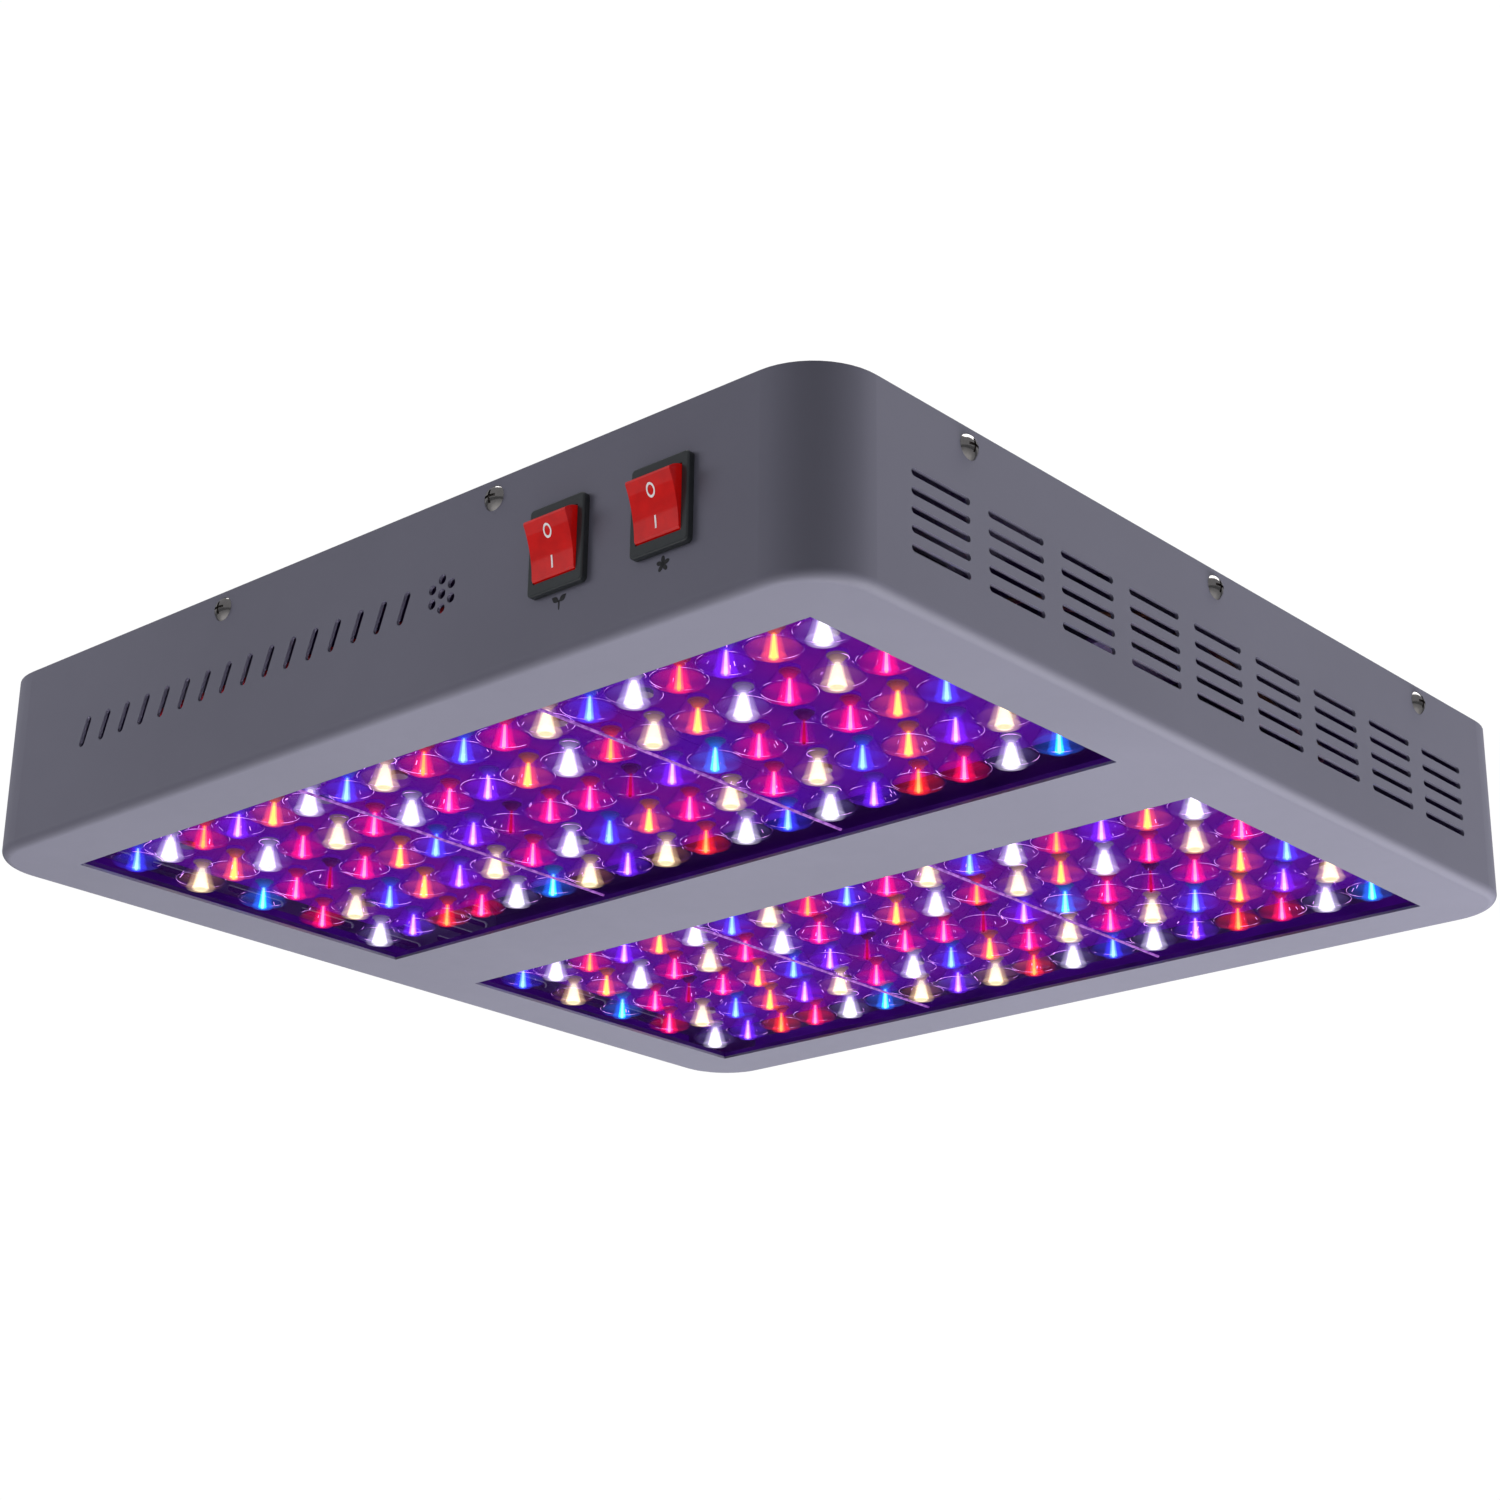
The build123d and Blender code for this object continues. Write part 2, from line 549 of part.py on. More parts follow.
def hanging_eyes():
    """Four bent steel eyes, one near each corner of the cover."""
    foot = slab(EYE_FOOT + EYE_T, EYE_W, EYE_T, (-(EYE_FOOT + EYE_T) / 2, 0, 0))
    foot -= Pos(-EYE_FOOT / 2 - EYE_T, 0, 0) * Cylinder(SCREW_R + 0.3, 9)
    tab = Pos(-EYE_T / 2, 0, EYE_H / 2) * Box(EYE_T, EYE_W, EYE_H)
    tab = fillet(tab.edges().filter_by(Axis.X).sort_by(Axis.Z)[-2:], 5)
    tab -= Pos(-EYE_T / 2, 0, EYE_H - 5.4) * Rot(0, 90, 0) * Cylinder(EYE_HOLE_R, 9)
    return group([frame * (foot + tab) for frame in eye_frames()])


def eye_screws():
    screw = Pos(-EYE_FOOT / 2 - EYE_T, 0, EYE_T) * pan_screw(EYE_T + SHEET + 4)
    return group([frame * screw for frame in eye_frames()])


def supply_wires():
    """Wires from the outer drivers down the side walls to the boards."""
    wires = []
    start = DRIVER_PITCH + DRIVER_X / 2
    for i in (-1, 1):
        for j in (-1, 1):
            route = [
                (i * start, j * 10, DRIVER_WIRE_Z + 2),
                (i * 186, j * 10, DRIVER_WIRE_Z + 2),
                (i * 191, j * 50, 38),
                (i * 189, j * 88, 32),
                (i * SUPPLY_END_X, j * WINDOW_Y, 28),
                (i * SUPPLY_END_X, j * WINDOW_Y, BOARD_Z + BOARD_T),
            ]
            wires.append(tube(route, WIRE_R, SUPPLY_BEND))
    return group(wires)


def switch_wires():
    """A wire from each switch along the inside of the switch wall and back to a driver."""
    spade_end = -HALF + SWITCH_DEPTH + SPADE[1]
    first, second = SWITCH_X
    high, low = SWITCH_Z + SPADE_Z, SWITCH_Z - SPADE_Z
    starts = (
        [(first, spade_end, high), (first, SPADE_LANE_Y, high), (first - 14, SPADE_LANE_Y, high)],
        [(second, spade_end, low), (second, SPADE_LANE_Y, low), (second - 14, SPADE_LANE_Y, low),
         (first + 9, SPADE_LANE_Y, SINK_LANE_Z)],
    )
    middles = (
        [(first - 34, WALL_LANE_Y + 2, 38), (-110, WALL_LANE_Y, 40)],
        [(first - 34, SPADE_LANE_Y - 1, 38), (0, WALL_LANE_Y, 32)],
    )
    wires = []
    for start, middle, end_x in zip(starts, middles, (-150, -40)):
        end = [
            (end_x, WALL_LANE_Y + 8, SINK_LANE_Z),
            (end_x, -60, SINK_LANE_Z),
            (end_x, -36, DRIVER_WIRE_Z),
            (end_x, -DRIVER_Y / 2, DRIVER_WIRE_Z),
        ]
        wires.append(tube(start + middle + end, WIRE_R, SWITCH_BEND))
    return group(wires)


# ---------------------------------------------------------------- export
def all_nodes():
    nodes = {"housing_tray": housing_tray(), "top_cover": top_cover()}
    for wall, frames in cover_screw_frames().items():
        nodes[f"cover_screws_{wall}"] = group([frame * pan_screw(SCREW_LENGTH) for frame in frames])
    for window, side in WINDOWS:
        nodes[f"window_gasket_{window}"] = window_gasket(side)
        nodes[f"heat_sink_{window}"] = heat_sink(side)
        for name, panel, _ in PANELS:
            nodes[f"lens_panel_{window}_{name}"] = lens_panel(side, panel)
            nodes[f"led_board_{window}_{name}"] = led_board(side, panel)
    places = led_places()
    one_led = led()
    for colour in sorted({place[0] for place in places}):
        mine = [Pos(x, y, 0) * one_led for c, x, y in places if c == colour]
        nodes[f"leds_{colour}"] = group(mine)
    nodes["board_screws"] = board_screws()
    for number, (x, y) in enumerate(fan_centres(), 1):
        nodes[f"fan_frame_{number}"] = fan_frame(x, y)
        nodes[f"fan_rotor_{number}"] = fan_rotor(x, y)
        nodes[f"fan_guard_{number}"] = fan_guard(x, y)
    nodes["fan_screws"] = fan_screws()
    for name, place in (("left", -1), ("centre", 0), ("right", 1)):
        nodes[f"led_driver_{name}"] = led_driver(place)
    nodes["driver_screws"] = driver_screws()
    for number, x in enumerate(SWITCH_X, 1):
        nodes[f"switch_body_{number}"] = switch_body(x)
        nodes[f"rocker_{number}"] = rocker(x)
    nodes["power_inlet"] = power_inlet()
    nodes["inlet_screws"] = inlet_screws()
    nodes["terminal_block"] = terminal_block()
    nodes["hanging_eyes"] = hanging_eyes()
    nodes["eye_screws"] = eye_screws()
    nodes["supply_wires"] = supply_wires()
    nodes["switch_wires"] = switch_wires()
    return nodes


os.makedirs("parts", exist_ok=True)
for node, shape in all_nodes().items():
    export_step(shape, f"parts/{node}.step")
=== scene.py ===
import json
import math
import random

import bpy
from mathutils import Matrix, Vector
from mathutils.bvhtree import BVHTree


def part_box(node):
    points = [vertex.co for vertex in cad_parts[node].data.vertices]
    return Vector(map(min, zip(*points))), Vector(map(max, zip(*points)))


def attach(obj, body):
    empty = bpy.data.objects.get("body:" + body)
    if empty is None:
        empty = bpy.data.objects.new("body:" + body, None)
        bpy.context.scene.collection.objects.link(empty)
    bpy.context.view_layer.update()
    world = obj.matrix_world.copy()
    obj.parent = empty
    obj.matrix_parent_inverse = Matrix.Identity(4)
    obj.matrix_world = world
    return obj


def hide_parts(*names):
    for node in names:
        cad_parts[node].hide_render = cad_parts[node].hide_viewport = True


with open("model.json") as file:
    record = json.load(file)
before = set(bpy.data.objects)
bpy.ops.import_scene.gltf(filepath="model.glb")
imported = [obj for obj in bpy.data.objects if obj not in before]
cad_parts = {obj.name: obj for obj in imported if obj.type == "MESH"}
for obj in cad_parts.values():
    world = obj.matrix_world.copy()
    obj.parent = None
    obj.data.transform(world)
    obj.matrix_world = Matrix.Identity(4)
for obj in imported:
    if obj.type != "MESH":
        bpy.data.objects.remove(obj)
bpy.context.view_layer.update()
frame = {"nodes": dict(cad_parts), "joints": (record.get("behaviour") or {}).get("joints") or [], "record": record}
MM = 0.001
NODES = frame["nodes"]
SLOT_OF = {part["node"]: part["material_slot"] for part in frame["record"]["subparts"]}


# ---------------------------------------------------------------- camera
CAMERA_PLACE = (0.6729, -0.7560, -0.3351)
CAMERA_RIGHT = (0.7477, 0.6639, 0.0126)
CAMERA_AHEAD = (-0.6232, 0.6950, 0.3585)
SENSOR_WIDTH = 36.0
FOCAL_LENGTH = 69.3
VIEW_DEPTH = 50.0


def look_through():
    """The camera stands below the lamp, in front of its right-hand corner."""
    camera = bpy.data.objects.new("camera", bpy.data.cameras.new("camera"))
    camera.data.sensor_width = SENSOR_WIDTH
    camera.data.lens = FOCAL_LENGTH
    camera.data.clip_end = VIEW_DEPTH
    right = Vector(CAMERA_RIGHT).normalized()
    ahead = Vector(CAMERA_AHEAD).normalized()
    right = (right - ahead * right.dot(ahead)).normalized()
    above = right.cross(ahead)
    turn = Matrix((right, above, -ahead)).transposed().to_4x4()
    camera.matrix_world = Matrix.Translation(CAMERA_PLACE) @ turn
    bpy.context.scene.collection.objects.link(camera)
    bpy.context.scene.camera = camera


# ---------------------------------------------------------------- node helpers
class Nodes:
    """A node tree under construction."""

    def __init__(self, tree, output):
        self.tree = tree
        self.tree.nodes.clear()
        self.output = self.node(output)

    def node(self, kind, settings=None, **sockets):
        node = self.tree.nodes.new("ShaderNode" + kind)
        for key, value in (settings or {}).items():
            setattr(node, key, value)
        for key, value in sockets.items():
            self.feed(node.inputs[key.replace("_", " ")], value)
        return node

    def feed(self, socket, value):
        """Links a socket to another, or sets it."""
        if isinstance(value, bpy.types.NodeSocket):
            self.tree.links.new(value, socket)
        else:
            socket.default_value = value

    def surface(self, shader):
        self.feed(self.output.inputs["Surface"], shader.outputs[0])

    def place(self):
        return self.node("TexCoord").outputs["Object"]

    def noise(self, scale, detail=3.0, roughness=0.5):
        made = self.node("TexNoise", Vector=self.place(), Scale=scale, Detail=detail, Roughness=roughness)
        return made.outputs["Fac"]

    def drawn_grain(self, direction):
        """Noise squeezed across the direction in which a metal was drawn."""
        stretch = self.node("Mapping", Vector=self.place())
        self.feed(stretch.inputs["Scale"], direction)
        grain = self.node("TexNoise", Vector=stretch.outputs["Vector"], Scale=30.0, Detail=6.0)
        return grain.outputs["Fac"]

    def ramp(self, factor, *stops):
        """Colour ramp through (position, colour) stops."""
        ramp = self.node("ValToRGB", Fac=factor)
        elements = ramp.color_ramp.elements
        while len(elements) < len(stops):
            elements.new(0.5)
        for element, (position, colour) in zip(elements, stops):
            element.position = position
            element.color = (*colour, 1.0)
        return ramp.outputs["Color"]

    def span(self, factor, low, high):
        """A factor from 0 to 1 spread over low to high."""
        spread = self.node("MapRange", Value=factor)
        self.feed(spread.inputs["To Min"], low)
        self.feed(spread.inputs["To Max"], high)
        return spread.outputs["Result"]

    def rise(self, vector, low, high):
        """0 where a vector's Z is low, and 1 where it is high."""
        split = self.node("SeparateXYZ", Vector=vector)
        spread = self.node("MapRange", Value=split.outputs["Z"])
        self.feed(spread.inputs["From Min"], low)
        self.feed(spread.inputs["From Max"], high)
        return spread.outputs["Result"]

    def facing(self):
        """0 where the surface is seen face-on, and 1 at its outline."""
        return self.node("LayerWeight", Blend=0.5).outputs["Facing"]

    def bump(self, height, strength, distance):
        return self.node("Bump", Height=height, Strength=strength, Distance=distance).outputs["Normal"]

    def maths(self, operation, first, second):
        made = self.node("Math", {"operation": operation})
        self.feed(made.inputs[0], first)
        self.feed(made.inputs[1], second)
        return made.outputs[0]

    def mixed(self, share, first, second):
        """The first shader where the share is 0, the second where it is 1."""
        made = self.node("MixShader", Fac=share)
        self.feed(made.inputs[1], first.outputs[0])
        self.feed(made.inputs[2], second.outputs[0])
        return made

    def added(self, first, second):
        made = self.node("AddShader")
        self.feed(made.inputs[0], first.outputs[0])
        self.feed(made.inputs[1], second.outputs[0])
        return made


class Shader(Nodes):
    """A material under construction."""

    def __init__(self, name):
        self.material = bpy.data.materials.new(name)
        self.material.use_nodes = True
        super().__init__(self.material.node_tree, "OutputMaterial")

    def principled(self, **sockets):
        self.surface(self.node("BsdfPrincipled", **sockets))
        return self.material

    def quiet(self):
        """The material, whose light is seen but isn't sampled as a lamp."""
        self.material.cycles.emission_sampling = "NONE"
        return self.material


def grey(value):
    return (value, value, value)


def tinted(colour, share):
    return tuple(channel * share for channel in colour)


# ---------------------------------------------------------------- materials of the housing
SLATE = (0.122, 0.119, 0.156)
# Painted shade and the painted violet glow of the LEDs' light, for the tray's inner faces beside the windows.
SHADED_PAINT = (0.012, 0.004, 0.030, 1.0)
PAINTED_LED_GLOW = ((0.35, (0.010, 0.0005, 0.045)), (0.65, (0.024, 0.001, 0.095)))
TRAY_LOW, TRAY_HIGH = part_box("housing_tray")
# The LEDs light the tray's inner faces: metres from the middle to just inside the sheet, |x| + |y| in the
# inner corners, and the two heights between which the light reaches.
INNER_HALF = TRAY_HIGH.x - 1.1 * MM
CORNER_SUM = 0.3800
SPILL_LOW, SPILL_HIGH = 1.0 * MM, 16.0 * MM


def inside_tray(s):
    """1 on the tray's inner faces beside the light windows, 0 elsewhere."""
    split = s.node("SeparateXYZ", Vector=s.place())
    height = split.outputs["Z"]
    sides = [s.maths("ABSOLUTE", split.outputs[axis], 0.0) for axis in "XY"]
    tests = [s.maths("LESS_THAN", side, INNER_HALF) for side in sides]
    tests.append(s.maths("LESS_THAN", s.maths("ADD", *sides), CORNER_SUM))
    tests.append(s.maths("GREATER_THAN", height, SPILL_LOW))
    tests.append(s.maths("LESS_THAN", height, SPILL_HIGH))
    found = tests[0]
    for test in tests[1:]:
        found = s.maths("MULTIPLY", found, test)
    return found


def powder_coat():
    """Satin slate powder coat: fine orange peel, faint mottling, and inside by the windows painted shade with the
    LEDs' light painted on as a violet glow.
    """
    s = Shader("powder_coat")
    inside = inside_tray(s)
    mottle = s.ramp(s.noise(9.0, 5.0), (0.3, tinted(SLATE, 0.955)), (0.7, tinted(SLATE, 1.045)))
    # Inside by the windows the paint is darkened as painted shade, and the LEDs' light is painted on as glow.
    paint = s.node("MixRGB", Fac=inside, Color1=mottle, Color2=SHADED_PAINT)
    s.principled(
        Base_Color=paint.outputs["Color"],
        Roughness=s.span(s.noise(60.0, 4.0), 0.40, 0.50),
        Specular_IOR_Level=0.45,
        Normal=s.bump(s.noise(1500.0, 2.0), 0.22, 0.00006),
        Emission_Color=s.ramp(s.noise(25.0, 3.0), *PAINTED_LED_GLOW),
        Emission_Strength=inside,
    )
    return s.quiet()


def bright_metal(name, colour, low, high, scratch=400.0):
    """Plated or bare metal with fine scratches in its polish: low and high are its roughness."""
    s = Shader(name)
    return s.principled(
        Base_Color=s.ramp(s.noise(scratch, 4.0), (0.35, tinted(colour, 0.90)), (0.65, colour)),
        Metallic=1.0,
        Roughness=s.span(s.noise(scratch * 2.0, 5.0), low, high),
        Normal=s.bump(s.noise(scratch * 3.0), 0.08, 0.00004),
    )


def brushed_metal(name, colour, direction):
    s = Shader(name)
    grain = s.drawn_grain(direction)
    return s.principled(
        Base_Color=s.ramp(grain, (0.3, tinted(colour, 0.82)), (0.7, colour)),
        Metallic=1.0,
        Roughness=s.span(grain, 0.28, 0.46),
        Normal=s.bump(grain, 0.10, 0.00005),
    )


def anodised_sink():
    """Black anodised extrusion, drawn along X, with a little violet glow of the LEDs' light painted on low down.
    """
    s = Shader("anodised_sink")
    grain = s.drawn_grain((1.0, 30.0, 30.0))
    # Painted light: a violet glow of the LEDs, strongest low down near the boards.
    near_light = s.rise(s.place(), 12.0 * MM, 30.0 * MM)
    s.principled(
        Base_Color=s.ramp(grain, (0.3, (0.020, 0.018, 0.026)), (0.7, (0.032, 0.030, 0.040))),
        Metallic=0.6,
        Roughness=s.span(grain, 0.34, 0.48),
        Normal=s.bump(grain, 0.10, 0.00005),
        Emission_Color=s.ramp(near_light, (0.0, (0.012, 0.0006, 0.050)), (1.0, grey(0.0))),
        Emission_Strength=1.0,
    )
    return s.quiet()


def moulded(name, colour, roughness):
    """Moulded plastic with a spark-eroded grain."""
    s = Shader(name)
    return s.principled(
        Base_Color=s.ramp(s.noise(45.0, 4.0), (0.3, tinted(colour, 0.88)), (0.7, tinted(colour, 1.1))),
        Roughness=s.span(s.noise(140.0, 4.0), roughness - 0.05, roughness + 0.07),
        Normal=s.bump(s.noise(2600.0, 2.0), 0.18, 0.00005),
    )


def wire_sleeve(name, colour):
    s = Shader(name)
    return s.principled(
        Base_Color=s.ramp(s.noise(160.0, 3.0), (0.3, tinted(colour, 0.85)), (0.7, colour)),
        Roughness=s.span(s.noise(500.0), 0.28, 0.42),
    )


def lit_rocker():
    """Polished translucent red, lit from inside."""
    s = Shader("lit_rocker")
    glow_haze = s.noise(220.0, 3.0)
    return s.principled(
        Base_Color=s.ramp(glow_haze, (0.3, (0.34, 0.001, 0.0006)), (0.7, (0.42, 0.002, 0.001))),
        Roughness=s.span(glow_haze, 0.30, 0.40),
        Specular_IOR_Level=0.1,
        Coat_Weight=1.0,
        Coat_Roughness=0.03,
        Coat_IOR=1.58,
        Emission_Color=s.ramp(glow_haze, (0.3, (0.50, 0.0, 0.0)), (0.7, (0.62, 0.003, 0.001))),
        Emission_Strength=0.30,
    )


def printed(name, colour):
    """Screen-printed ink with a slightly uneven gloss."""
    s = Shader(name)
    return s.principled(
        Base_Color=s.ramp(s.noise(900.0), (0.3, tinted(colour, 0.9)), (0.7, colour)),
        Roughness=s.span(s.noise(1200.0), 0.35, 0.5),
    )


# ---------------------------------------------------------------- materials of the light windows
# Linear colours of each LED: the glow that fills its cone, its core near the LED, and its core at the mouth.
LIGHT = {
    "white": ((0.42, 0.34, 0.95), (0.80, 0.72, 1.0), (1.0, 0.98, 1.0)),
    "warm_white": ((0.90, 0.30, 0.20), (1.0, 0.70, 0.35), (1.0, 0.88, 0.55)),
    "red": ((1.0, 0.004, 0.075), (1.0, 0.020, 0.14), (1.0, 0.42, 0.55)),
    "red_orange": ((1.0, 0.018, 0.006), (1.0, 0.060, 0.008), (1.0, 0.50, 0.16)),
    "orange": ((1.0, 0.085, 0.004), (1.0, 0.24, 0.010), (1.0, 0.80, 0.22)),
    "blue": ((0.035, 0.045, 1.0), (0.05, 0.16, 1.0), (0.45, 0.78, 1.0)),
    "light_blue": ((0.010, 0.16, 1.0), (0.01, 0.34, 1.0), (0.50, 1.0, 1.0)),
    "violet": ((0.16, 0.015, 1.0), (0.22, 0.07, 1.0), (0.80, 0.66, 1.0)),
    "infrared": ((0.10, 0.0, 0.02), (0.12, 0.0, 0.02), (0.26, 0.004, 0.03)),
}
GLOW, DEEP, HOT = 0, 1, 2
# Violet glow of the lit boards, painted as emission where an LED's package meets its board.
PAINTED_BOARD_GLOW = (0.085, 0.002, 0.260)


def core_light(colour, low, high):
    """Opaque bright core: white-hot at the mouth of the cone, coloured near the LED."""
    s = Shader("core_" + colour)
    deep, hot = LIGHT[colour][DEEP], LIGHT[colour][HOT]
    height = s.rise(s.place(), low, high)
    tone = s.ramp(height, (0.0, hot), (0.62, hot), (0.92, deep), (1.0, deep))
    s.surface(s.node("Emission", Color=tone, Strength=s.span(s.noise(900.0, 1.0), 0.9, 1.15)))
    return s.quiet()


def veil(s, light):
    """Adds light to whatever lies behind the surface."""
    s.surface(s.added(light, s.node("BsdfTransparent")))
    return s.quiet()


def halo_light(colour, strength, shade, low, high):
    """Thin veil of light round a core, fading upwards and towards its outline."""
    s = Shader(f"halo_{colour}_{round(strength * 100)}")
    glow = LIGHT[colour][shade]
    fade = s.ramp(
        s.rise(s.place(), low, high),
        (0.0, glow),
        (0.35, tinted(glow, 0.72)),
        (0.70, tinted(glow, 0.30)),
        (1.0, tinted(glow, 0.03)),
    )
    soft = s.ramp(s.facing(), (0.0, grey(1.0)), (0.35, grey(0.55)), (0.7, grey(0.14)), (1.0, grey(0.0)))
    patchy = s.span(s.noise(260.0, 2.0), 0.75 * strength, 1.25 * strength)
    return veil(s, s.node("Emission", Color=fade, Strength=s.maths("MULTIPLY", soft, patchy)))


def glint_light():
    """Lilac sparkle where a cone's rim and flank catch the light of its neighbours."""
    s = Shader("glint")
    tone = s.ramp(s.noise(150.0, 2.0), (0.50, (0.02, 0.001, 0.06)), (0.64, (0.85, 0.40, 1.0)))
    return veil(s, s.node("Emission", Color=tone, Strength=1.0))


def led_package(colour, dome_low, dome_high):
    """Lit silicone dome below its package; the package's top fades into the painted violet glow of the board."""
    s = Shader("package_" + colour)
    deep = LIGHT[colour][DEEP]
    # The dome glows with its LED; at the package's top it fades into the painted violet glow of the board.
    lit = s.ramp(
        s.rise(s.place(), dome_low, dome_high),
        (0.0, tinted(deep, 0.42)),
        (0.85, tinted(deep, 0.16)),
        (1.0, PAINTED_BOARD_GLOW),
    )
    s.principled(
        Base_Color=s.ramp(s.noise(700.0), (0.3, (0.012, 0.004, 0.022)), (0.7, (0.020, 0.008, 0.034))),
        Roughness=s.span(s.noise(900.0), 0.35, 0.5),
        Specular_IOR_Level=0.1,
        IOR=1.06,
        Emission_Color=lit,
        Emission_Strength=1.0,
    )
    return s.quiet()


def clear_lens():
    """Clear moulded plastic: see-through, glossier where it is seen edge-on, faint rings round its cones, and a
    faint violet glow of the LEDs' light painted into it.
    """
    s = Shader("clear_lens")
    rings = s.node("TexWave", {"bands_direction": "Z"}, Vector=s.place(), Scale=330.0, Distortion=0.0)
    ripple = s.bump(rings.outputs["Fac"], 0.06, 0.0001)
    gloss = s.node("BsdfGlossy", Color=(0.16, 0.07, 0.34, 1.0), Roughness=0.14, Normal=ripple)
    clear = s.node("BsdfTransparent", Color=(0.95, 0.92, 1.0, 1.0))
    sheen = s.ramp(s.facing(), (0.0, grey(0.01)), (0.6, grey(0.03)), (0.88, grey(0.15)), (1.0, grey(0.6)))
    # Painted light: a faint violet glow of the LEDs, added as emission through the plastic.
    glow_haze = s.ramp(s.noise(60.0, 3.0), (0.35, (0.008, 0.0003, 0.028)), (0.65, (0.016, 0.0006, 0.050)))
    trapped = s.node("Emission", Color=glow_haze, Strength=0.30)
    s.surface(s.added(s.mixed(sheen, clear, gloss), trapped))
    return s.quiet()


def lit_board():
    """Dark solder mask with the light of the LEDs nearest to each point painted on as glow."""
    s = Shader("lit_board")
    s.principled(
        Base_Color=s.ramp(s.noise(300.0), (0.3, (0.012, 0.002, 0.020)), (0.7, (0.018, 0.003, 0.028))),
        Roughness=0.5,
        Specular_IOR_Level=0.05,
        IOR=1.06,
        Emission_Color=s.node("Attribute", {"attribute_name": "painted_led_light"}).outputs["Color"],
        Emission_Strength=s.span(s.noise(500.0, 3.0), 0.9, 1.1),
    )
    return s.quiet()


def lit_gasket():
    """Black rubber that takes the violet spill of the light beside it."""
    s = Shader("gasket_black")
    spill = s.ramp(s.noise(40.0, 3.0), (0.35, (0.010, 0.0005, 0.040)), (0.65, (0.022, 0.001, 0.085)))
    s.principled(
        Base_Color=s.ramp(s.noise(300.0), (0.3, grey(0.006)), (0.7, grey(0.010))),
        Roughness=s.span(s.noise(200.0), 0.4, 0.6),
        Specular_IOR_Level=0.2,
        IOR=1.10,
        Emission_Color=spill,
        Emission_Strength=1.0,
    )
    return s.quiet()


def seam_light():
    """Edge of a lens panel, where light leaves the plastic."""
    s = Shader("seam_light")
    s.principled(
        Base_Color=(0.10, 0.03, 0.16, 1.0),
        Roughness=s.span(s.noise(900.0), 0.12, 0.25),
        Emission_Color=s.ramp(s.noise(420.0, 3.0), (0.40, (0.10, 0.008, 0.20)), (0.70, (0.60, 0.22, 0.80))),
        Emission_Strength=0.55,
    )
    return s.quiet()


# ---------------------------------------------------------------- mesh helpers
def piece(name, verts, faces, material, body="root", smooth=True):
    """A mesh piece that rides on a body."""
    mesh = bpy.data.meshes.new(name)
    mesh.from_pydata([tuple(v) for v in verts], [], faces)
    mesh.validate()
    mesh.polygons.foreach_set("use_smooth", [smooth] * len(mesh.polygons))
    mesh.materials.append(material)
    made = bpy.data.objects.new(name, mesh)
    bpy.context.scene.collection.objects.link(made)
    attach(made, body)
    return made


def round_about(count):
    """Angles of evenly spaced points on a circle."""
    return [2 * math.pi * k / count for k in range(count)]


def circle(centre, radius, height, count):
    return [
        (centre[0] + radius * math.cos(angle), centre[1] + radius * math.sin(angle), height)
        for angle in round_about(count)
    ]


def walled(faces, start, count, rings):
    """Faces between rings of vertices that follow each other from start on."""
    for ring in range(rings - 1):
        for k in range(count):
            a = start + ring * count + k
            b = start + ring * count + (k + 1) % count
            faces.append((a, b, b + count, a + count))


def capped(faces, start, count, rings):
    """Faces that close the first and the last ring."""
    last = start + (rings - 1) * count
    faces.append(tuple(reversed(range(start, start + count))))
    faces.append(tuple(range(last, last + count)))


def spun(verts, faces, centre, profile, segments):
    """Adds a solid of revolution about Z: profile is (radius, height) from bottom to top."""
    start = len(verts)
    for radius, height in profile:
        verts += circle(centre, radius, height, segments)
    walled(faces, start, segments, len(profile))
    capped(faces, start, segments, len(profile))


def led_centres(node):
    """Centre of each LED in a node that holds many, found by gathering its vertices."""
    near = 9 * MM
    clusters = []
    for vertex in NODES[node].data.vertices:
        spot = Vector((vertex.co.x, vertex.co.y))
        home = next((c for c in clusters if (c[0] - spot).length < near), None)
        if home is None:
            clusters.append([spot, spot.copy(), spot.copy()])
        else:
            home[1] = Vector(map(min, home[1], spot))
            home[2] = Vector(map(max, home[2], spot))
    return [(low + high) / 2 for _, low, high in clusters]


LEDS = {node[len("leds_"):]: led_centres(node) for node in sorted(NODES) if node.startswith("leds_")}
LENS_LOW, LENS_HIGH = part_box("lens_panel_front_centre")


# ---------------------------------------------------------------- light in the cones
CORE_FOOT = 0.35 * MM
CORE_HEAD = LENS_HIGH.z + 3.0 * MM
CORE_TIP = ((0.50, 0.0), (0.88, 0.35), (1.0, 1.0))  # share of the radius, mm above the foot
# Radius in mm, then the flank: share of the radius, share of the height.
WIDE_CORE = (2.6, ((0.72, 0.30), (0.36, 0.60), (0.10, 1.0)))
SLIM_CORE = (0.62, ((0.80, 0.30), (0.58, 0.60), (0.22, 1.0)))
# Veils round a core: radius at the mouth in mm, strength, which of the three colours, mm above the foot.
WIDE_VEILS = ((3.4, 0.9, HOT, 0.3), (5.6, 0.42, DEEP, 0.6), (9.2, 0.10, GLOW, 2.9))
SLIM_VEILS = ((1.7, 2.6, DEEP, 0.3), (4.2, 0.58, GLOW, 0.6), (9.2, 0.25, GLOW, 2.9))
WIDE_COLOURS = ("white", "warm_white")
CORE_SEGMENTS, VEIL_SEGMENTS = 20, 24


def core_profile(colour):
    radius, flank = WIDE_CORE if colour in WIDE_COLOURS else SLIM_CORE
    radius *= MM
    profile = [(radius * share, CORE_FOOT + rise * MM) for share, rise in CORE_TIP]
    return profile + [(radius * share, CORE_FOOT + (CORE_HEAD - CORE_FOOT) * rise) for share, rise in flank]


